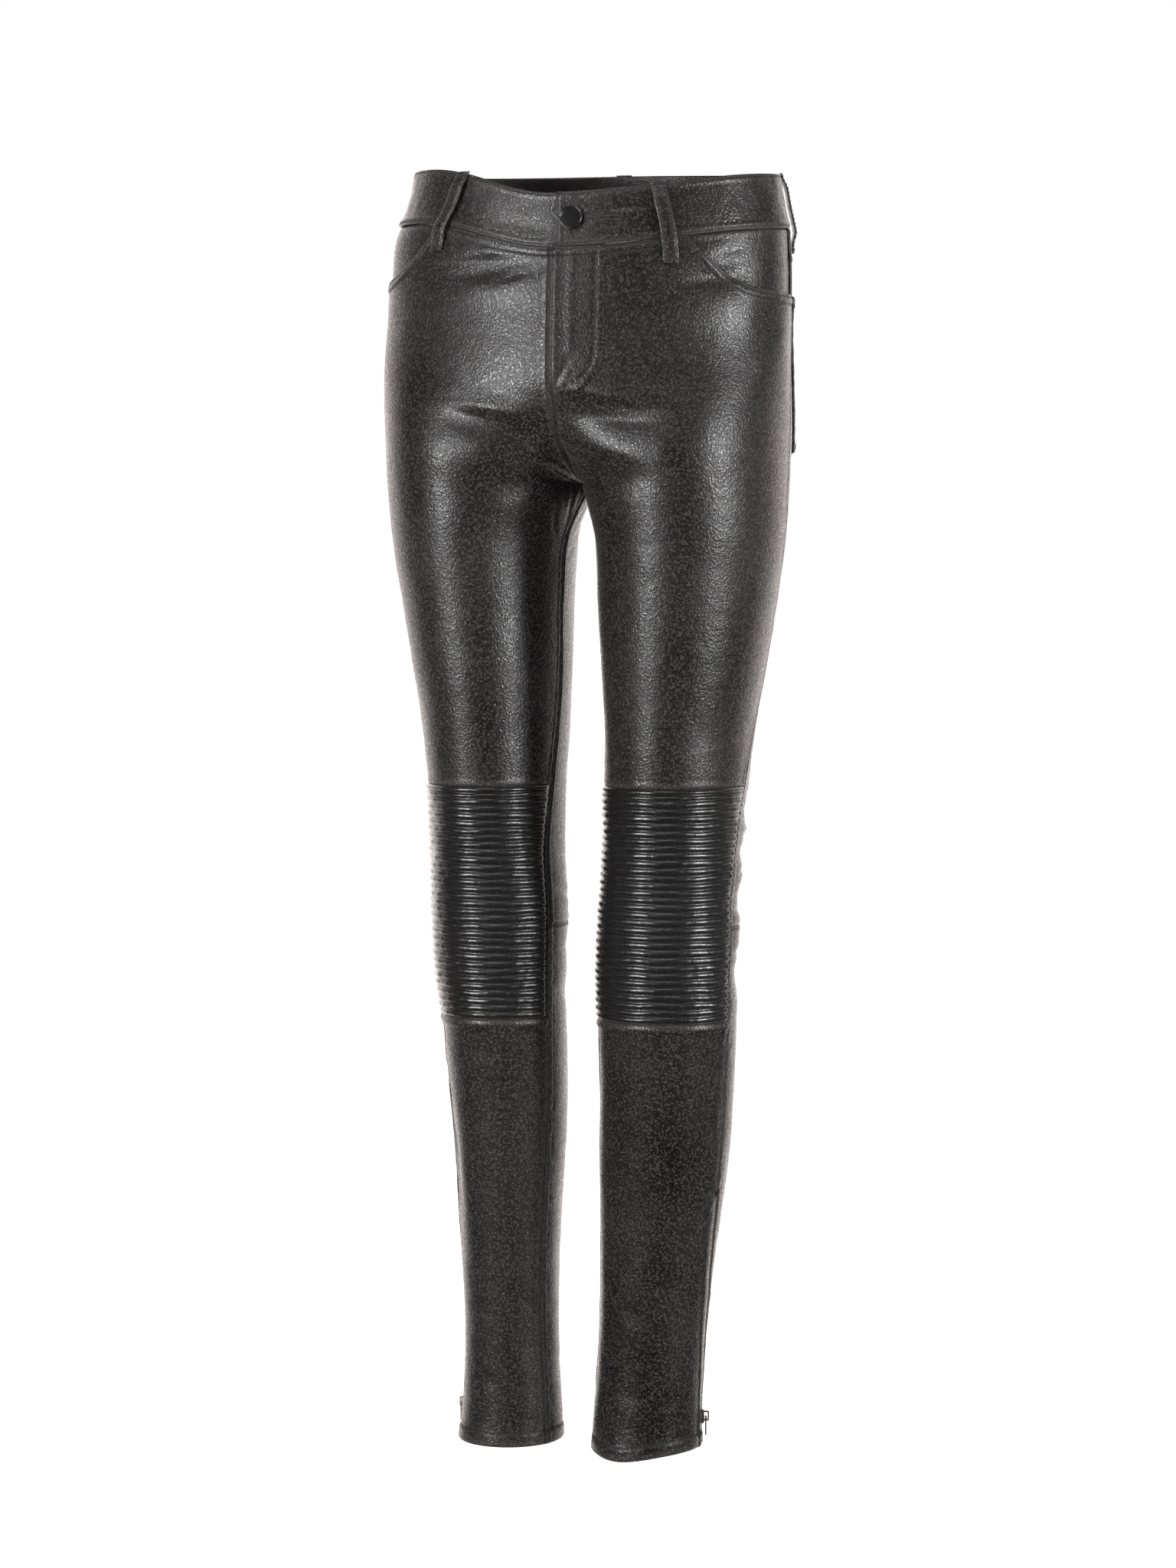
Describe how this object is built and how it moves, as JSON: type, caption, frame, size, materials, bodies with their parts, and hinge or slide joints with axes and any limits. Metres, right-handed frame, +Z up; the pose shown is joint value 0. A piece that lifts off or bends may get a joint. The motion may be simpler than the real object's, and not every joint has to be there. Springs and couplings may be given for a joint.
{
  "type": "leather trousers",
  "caption": "Skinny black leather trousers in worn form: lapped waistband, curved front pockets, ribbed knee panels, ankle zips with swinging pull tabs.",
  "frame": {"origin": "centre of the waist, level with the top of the waistband at the sides, where the wearer holds the garment", "axes": "+X to the wearer's left, +Y to the wearer's back, +Z up"},
  "size_m": [0.3134, 0.2304, 0.9802],
  "materials": {
    "leather": "near-black fine-grained leather with a soft satin sheen",
    "knee_leather": "glossy black padded ribs",
    "button": "glossy black enamel cap with a thin bright rim",
    "zip_tape": "black woven tape",
    "zip_metal": "bright metal teeth, slider and pull"
  },
  "bodies": {
    "trousers": {"waistband": "leather", "front_thigh_left": "leather", "front_thigh_right": "leather", "pocket_facing_left": "leather", "pocket_facing_right": "leather", "knee_panel_left": "knee_leather", "knee_panel_right": "knee_leather", "shin_left": "leather", "shin_right": "leather", "yoke_left": "leather", "yoke_right": "leather", "back_thigh_left": "leather", "back_thigh_right": "leather", "back_calf_left": "leather", "back_calf_right": "leather", "back_pocket_left": "leather", "back_pocket_right": "leather", "belt_loop_front_left": "leather", "belt_loop_front_right": "leather", "belt_loop_side_left": "leather", "belt_loop_side_right": "leather", "belt_loop_back": "leather", "fly_button": "button", "zip_tape_left": "zip_tape", "zip_tape_right": "zip_tape", "zip_teeth_left": "zip_metal", "zip_teeth_right": "zip_metal", "zip_slider_left": "zip_metal", "zip_slider_right": "zip_metal"},
    "pull_left": {"zip_pull_left": "zip_metal"},
    "pull_right": {"zip_pull_right": "zip_metal"}
  },
  "joints": [
    {"name": "pull_left_swing", "type": "hinge", "parent": "trousers", "child": "pull_left", "pos_m": [0.08473, 0.03085, -0.951], "axis": [0.1472, -0.9891, 0], "range_deg": [0, 165]},
    {"name": "pull_right_swing", "type": "hinge", "parent": "trousers", "child": "pull_right", "pos_m": [-0.11206, 0.03021, -0.951], "axis": [0.1268, 0.9919, 0], "range_deg": [0, 165]}
  ]
}
